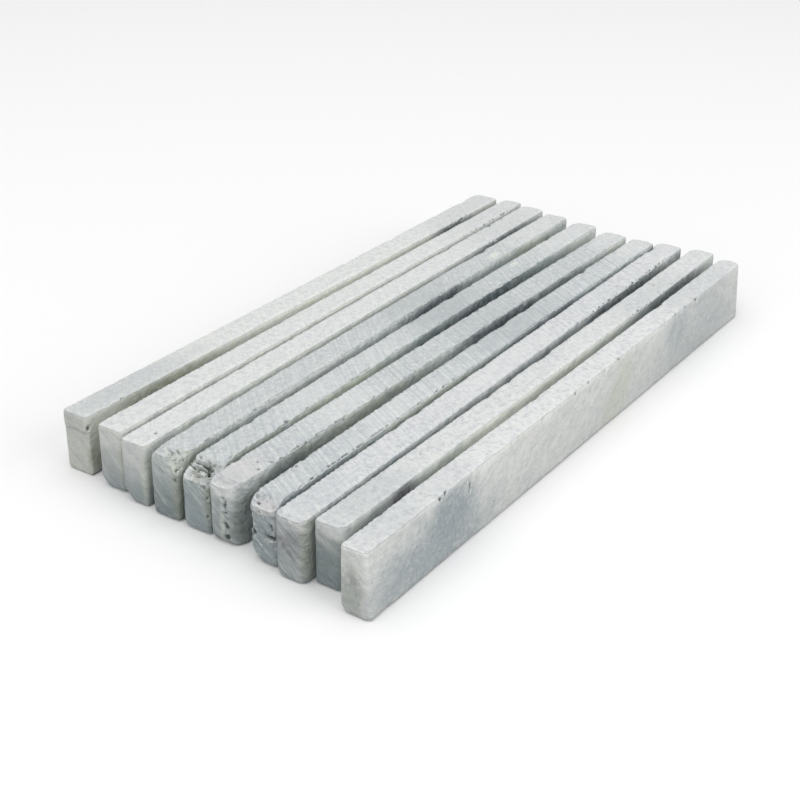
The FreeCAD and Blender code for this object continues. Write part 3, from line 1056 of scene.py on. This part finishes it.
            groove((107.6, 0.4, None), (107.0, 0.1, None), 0.6, 0.2),
        ],
        crumbs=[(RIGHT, 88, 100, 7)],
    ),
    "stick_10": dict(
        slant=-0.4,
        upper=(0.90, 0.91, 0.88), lower=(0.76, 0.78, 0.755), dust=(0.795, 0.81, 0.80),
        cloudy=0.06, veined=0.1, streaky=0.3, mottled=0.1, crumbly=0.95, blotchy=0.32,
        clouds=[
            on_end(PUTTY, 0.95, 0.2, 3.8, 2.8, 6.0),
            on_end(MOSS, 0.5, 0.0, 5.6, 0.8, 1.2),
            on_end(MOSS, 0.5, -0.35, 3.8, 0.8, 1.2),
            on_end(MILK, 0.4, -1.0, 6, 0.9, 8),
            on_side(MIST, 0.8, 18, 2, 20, 10),
            on_side(MIST, 0.8, 22, 7.5, 8, 6),
            on_side(MIST, 0.35, 5, 4, 8, 6),
            on_side(MIST, 0.4, 110, 4, 22, 14),
            on_side(MIST, 0.4, 100, 8, 6, 5),
            on_side(SAGE, 0.4, 76, 4, 6, 9, 0.6),
        ],
        patches=[
            on_top(DOVE, 0.38, 10, 12), on_top(DOVE, 0.25, 24, 8), on_top(DOVE, 0.36, 116, 22),
        ],
        marks=[
            groove((26.4, -1.0, 10.6), (27.0, -1.0, 9.5), 0.45, 0.2),
            groove((27.0, -1.0, 9.5), (26.7, -1.0, 8.4), 0.7, 0.4),
            pit((18.8, -1.0, 10.8), 0.9, 0.4), pit((20.2, -1.0, 10.9), 0.7, 0.35),
            pit((21.4, -1.0, 8.1), 0.5, 0.15), pit((25.1, -1.0, 4.9), 0.5, 0.15),
            pit((2.1, -1.0, 6.4), 0.5, 0.1), pit((17.6, -0.04, None), 0.7, 0.2),
            groove((18.4, -0.27, None), (18.0, 0.47, None), 0.5, 0.2),
            pit((31.0, 0.36, None), 0.5, 0.15), pit((21.3, -0.03, None), 0.5, 0.15),
            pit((99.9, -0.93, None), 0.8, 0.35),
        ],
        crumbs=[(RIGHT, 60, 120, 12)],
    ),
}


def make_stick(number, node_name, changes):
    """Cut one stick from its blank and give it its finish."""
    look = {**PLAIN, **changes}
    seed = 100 * number
    look["clouds"] = look["clouds"] + on_left(seed + 90)
    blank = Blank(node_name)
    wave_faces(blank, seed)
    cut_saw_marks(blank, look["pitch"], look["slant"], look["saw_depth"], seed + 1)
    blank.read_normals()
    wear_long_edges(blank, look["ragged"], look["pitch"], look["slant"], seed + 2)
    wear_end_edges(blank, look["ragged"], seed + 3)
    for index, (spot, reach, depth, grain) in enumerate(look["breaks"]):
        break_stone(blank, spot, reach, depth, grain, seed + 40 + index)
    marks = look["marks"] + stray_pits(blank, look["pits"], seed + 5)
    for index, (side, start, stop, count) in enumerate(look["crumbs"]):
        marks = marks + crumbled_edge(side, start, stop, count, seed + 60 + index)
    dig(blank, marks, seed + 6)
    keep_inside(blank)
    stone = finish_mesh(blank, "stone_%02d" % number)
    stone.data.materials.clear()
    stone.data.materials.append(soapstone("soapstone_%02d" % number, look, blank))
    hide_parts(node_name)
    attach(stone, node_name)
    return stone


for number, (node_name, changes) in enumerate(STICKS.items(), start=1):
    make_stick(number, node_name, changes)


# ---------------------------------------------------------------- table, light and camera

TABLE_WIDTH = 1.6
TABLE_GAP = 0.02 * MM           # keeps the table from touching the undersides
TABLE_SEEN = (0.95, 0.95, 0.95)
TABLE_LIT = (0.30, 0.30, 0.30)  # what the table gives back to the stone
ROOM_SEEN, ROOM_LIT = 1.0, 0.55


def studio():
    """A pale table, a bright soft room and two large soft lamps."""
    under_row = (0, 0, cad_low.z - TABLE_GAP)
    bpy.ops.mesh.primitive_plane_add(size=TABLE_WIDTH, location=under_row)
    table = bpy.context.object
    table.name = "table"
    white = bpy.data.materials.new("table_white")
    white.use_nodes = True
    tree = white.node_tree
    shader = tree.nodes["Principled BSDF"]
    seen = tree.nodes.new("ShaderNodeLightPath").outputs["Is Camera Ray"]
    plug(tree, tint(tree, seen, TABLE_LIT, TABLE_SEEN), shader.inputs["Base Color"])
    shader.inputs["Roughness"].default_value = 0.9
    shader.inputs["Specular IOR Level"].default_value = 0.1
    table.data.materials.append(white)

    world = bpy.data.worlds.new("room")
    world.use_nodes = True
    room = world.node_tree
    sky = room.nodes["Background"]
    seen = room.nodes.new("ShaderNodeLightPath").outputs["Is Camera Ray"]
    sky.inputs["Color"].default_value = (1.0, 1.0, 1.0, 1)
    plug(room, spread(room, seen, 0.0, 1.0, ROOM_LIT, ROOM_SEEN), sky.inputs["Strength"])
    bpy.context.scene.world = world

    lamps = [
        ("overhead", (-0.05, 0.10, 0.80), 1.0, 3.2),
        ("side_fill", (0.05, -0.80, 0.40), 0.7, 2.6),
        ("end_fill", (-0.80, -0.10, 0.35), 0.7, 1.6),
    ]
    for name, spot, size, power in lamps:
        lamp = bpy.data.lights.new(name, "AREA")
        lamp.shape = "SQUARE"
        lamp.size = size
        lamp.energy = power
        holder = bpy.data.objects.new(name, lamp)
        holder.location = spot
        holder.rotation_euler = Vector(spot).to_track_quat("Z", "Y").to_euler()
        bpy.context.scene.collection.objects.link(holder)


CAMERA_ANGLES = (-56.376, 27.467, 0.635)        # round the row, down to it, and tilt
CAMERA_PLACE = (-203.65, -127.0, 121.14)        # in millimetres
CAMERA_LENS = 64.79


def camera():
    """Looks along the row from its near, right-hand corner, a little from above."""
    azimuth, elevation, roll = [math.radians(angle) for angle in CAMERA_ANGLES]
    back = Vector((
        math.sin(azimuth) * math.cos(elevation),
        -math.cos(azimuth) * math.cos(elevation),
        math.sin(elevation),
    ))
    eye = Vector(CAMERA_PLACE) * MM
    data = bpy.data.cameras.new("camera")
    data.lens = CAMERA_LENS
    data.sensor_width = 36.0
    data.clip_start = 0.01
    holder = bpy.data.objects.new("camera", data)
    turn = back.to_track_quat("Z", "Y").to_matrix() @ Matrix.Rotation(roll, 3, "Z")
    holder.matrix_world = Matrix.Translation(eye) @ turn.to_4x4()
    bpy.context.scene.collection.objects.link(holder)
    bpy.context.scene.camera = holder


studio()
camera()
bpy.context.scene.view_settings.view_transform = "Standard"
